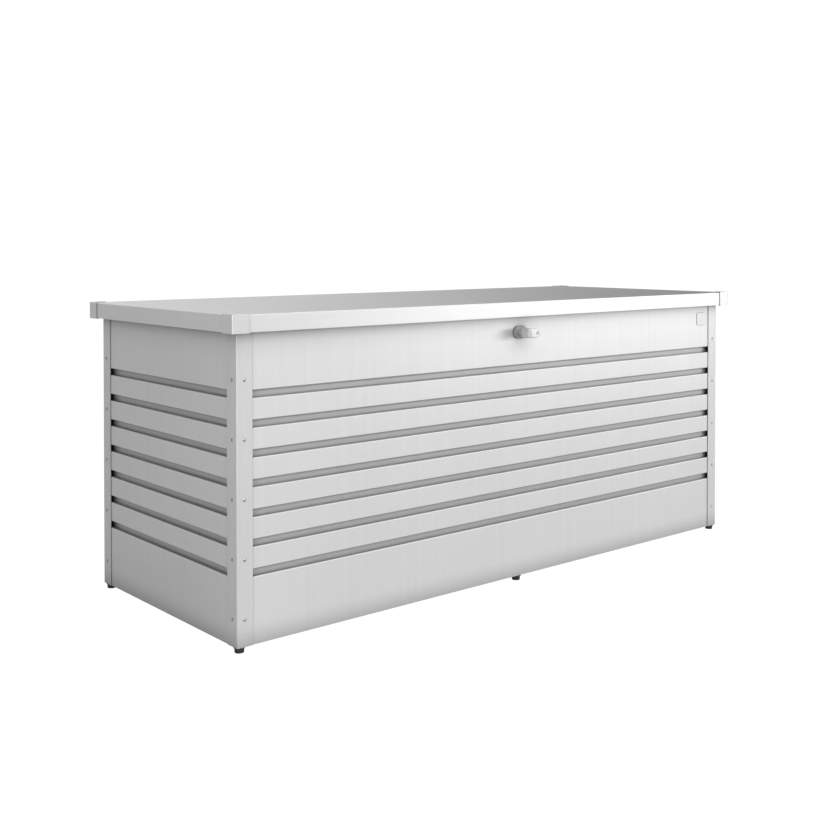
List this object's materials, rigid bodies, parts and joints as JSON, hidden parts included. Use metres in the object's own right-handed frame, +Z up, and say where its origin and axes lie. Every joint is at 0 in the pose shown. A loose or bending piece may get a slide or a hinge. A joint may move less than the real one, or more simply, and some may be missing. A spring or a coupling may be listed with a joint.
{
  "type": "deck storage box",
  "caption": "Long sheet-steel outdoor storage chest with grooved walls, angle corner posts, low feet and a rear-hinged gas-assisted lid with a lockable turning handle.",
  "frame": {"origin": "on the ground, under the middle of the whole object's box, the handle included; the chest's own middle plane is 15.9 mm behind it", "axes": "+X along the length to the right as seen from the front, -Y the front with the handle, +Z up"},
  "size_m": [2, 0.8218, 0.83],
  "materials": {
    "silver_coat": "satin silver-metallic powder coat on galvanised sheet",
    "cap_silver": "satin silver-metallic coat on moulded corner caps",
    "galvanised_sheet": "plain galvanised sheet with a dull spangle",
    "zinc_steel": "bright zinc-plated steel",
    "rivet_silver": "satin aluminium rivet heads",
    "handle_metal": "satin chrome on a die-cast handle",
    "lock_metal": "nickel-plated lock core",
    "rosette_grey": "grey moulded plastic",
    "plate_silver": "satin anodised plate, left blank",
    "black_plastic": "fine-textured black plastic",
    "seal_rubber": "soft black rubber",
    "strut_black": "gloss black enamel",
    "strut_rod_steel": "ground and plated piston rod"
  },
  "bodies": {
    "chest": {"base_rail_front": "galvanised_sheet", "base_rail_left": "galvanised_sheet", "base_rail_rear": "galvanised_sheet", "base_rail_right": "galvanised_sheet", "blank_plate": "plate_silver", "floor_beam": "galvanised_sheet", "floor_panel_left": "galvanised_sheet", "floor_panel_right": "galvanised_sheet", "foot_front_left": "black_plastic", "foot_front_middle": "black_plastic", "foot_front_right": "black_plastic", "foot_rear_left": "black_plastic", "foot_rear_middle": "black_plastic", "foot_rear_right": "black_plastic", "foot_screws": "zinc_steel", "front_wall": "silver_coat", "handle_rosette": "rosette_grey", "hinge_left_chest_leaf": "zinc_steel", "hinge_middle_chest_leaf": "zinc_steel", "hinge_pins": "zinc_steel", "hinge_right_chest_leaf": "zinc_steel", "hinge_rivets": "zinc_steel", "latch_bearing": "zinc_steel", "left_wall": "silver_coat", "post_front_left": "silver_coat", "post_front_right": "silver_coat", "post_rear_left": "silver_coat", "post_rear_right": "silver_coat", "rear_wall": "silver_coat", "right_wall": "silver_coat", "rim_seal": "seal_rubber", "strut_bracket_chest_left": "zinc_steel", "strut_bracket_chest_right": "zinc_steel", "top_rail_front": "galvanised_sheet", "top_rail_left": "galvanised_sheet", "top_rail_rear": "galvanised_sheet", "top_rail_right": "galvanised_sheet", "wall_rivets": "rivet_silver"},
    "lid": {"hinge_left_lid_leaf": "zinc_steel", "hinge_middle_lid_leaf": "zinc_steel", "hinge_right_lid_leaf": "zinc_steel", "latch_striker": "zinc_steel", "lid_cap_front_left": "cap_silver", "lid_cap_front_right": "cap_silver", "lid_cap_rear_left": "cap_silver", "lid_cap_rear_right": "cap_silver", "lid_panel": "silver_coat", "lid_stiffener_left": "galvanised_sheet", "lid_stiffener_right": "galvanised_sheet", "strut_bracket_lid_left": "zinc_steel", "strut_bracket_lid_right": "zinc_steel"},
    "handle": {"handle_knob": "handle_metal", "handle_spindle": "handle_metal", "latch_cam": "zinc_steel", "cam_screw": "zinc_steel"},
    "lock_core": {"lock_core": "lock_metal"},
    "strut_cylinder_left": {"strut_cylinder_left": "strut_black"},
    "strut_rod_left": {"strut_rod_left": "strut_rod_steel"},
    "strut_cylinder_right": {"strut_cylinder_right": "strut_black"},
    "strut_rod_right": {"strut_rod_right": "strut_rod_steel"}
  },
  "joints": [
    {"name": "lid_hinge", "type": "hinge", "parent": "chest", "child": "lid", "pos_m": [0, 0.3989, 0.795], "axis": [-1, 0, 0], "range_deg": [0, 75], "stiffness_Nm_per_rad": 29.8, "springref_deg": 123.07},
    {"name": "handle_turn", "type": "hinge", "parent": "chest", "child": "handle", "pos_m": [0, -0.34, 0.737], "axis": [0, 1, 0], "range_deg": [0, 90]},
    {"name": "lock_turn", "type": "hinge", "parent": "handle", "child": "lock_core", "pos_m": [0.014, -0.395, 0.737], "axis": [0, 1, 0], "range_deg": [0, 90]},
    {"name": "strut_left_upper_pivot", "type": "hinge", "parent": "lid", "child": "strut_cylinder_left", "pos_m": [-0.94, 0.14167, 0.795], "axis": [-1, 0, 0], "range_deg": [-37.5, 0]},
    {"name": "strut_left_lower_pivot", "type": "hinge", "parent": "chest", "child": "strut_rod_left", "pos_m": [-0.94, 0.2989, 0.558], "axis": [-1, 0, 0], "range_deg": [0, 37.5]},
    {"name": "strut_right_upper_pivot", "type": "hinge", "parent": "lid", "child": "strut_cylinder_right", "pos_m": [0.94, 0.14167, 0.795], "axis": [-1, 0, 0], "range_deg": [-37.5, 0]},
    {"name": "strut_right_lower_pivot", "type": "hinge", "parent": "chest", "child": "strut_rod_right", "pos_m": [0.94, 0.2989, 0.558], "axis": [-1, 0, 0], "range_deg": [0, 37.5]}
  ],
  "couplings": [
    {"joint": "strut_left_upper_pivot", "follows": "lid_hinge", "ratio": -0.5},
    {"joint": "strut_left_lower_pivot", "follows": "lid_hinge", "ratio": 0.5},
    {"joint": "strut_right_upper_pivot", "follows": "lid_hinge", "ratio": -0.5},
    {"joint": "strut_right_lower_pivot", "follows": "lid_hinge", "ratio": 0.5}
  ]
}
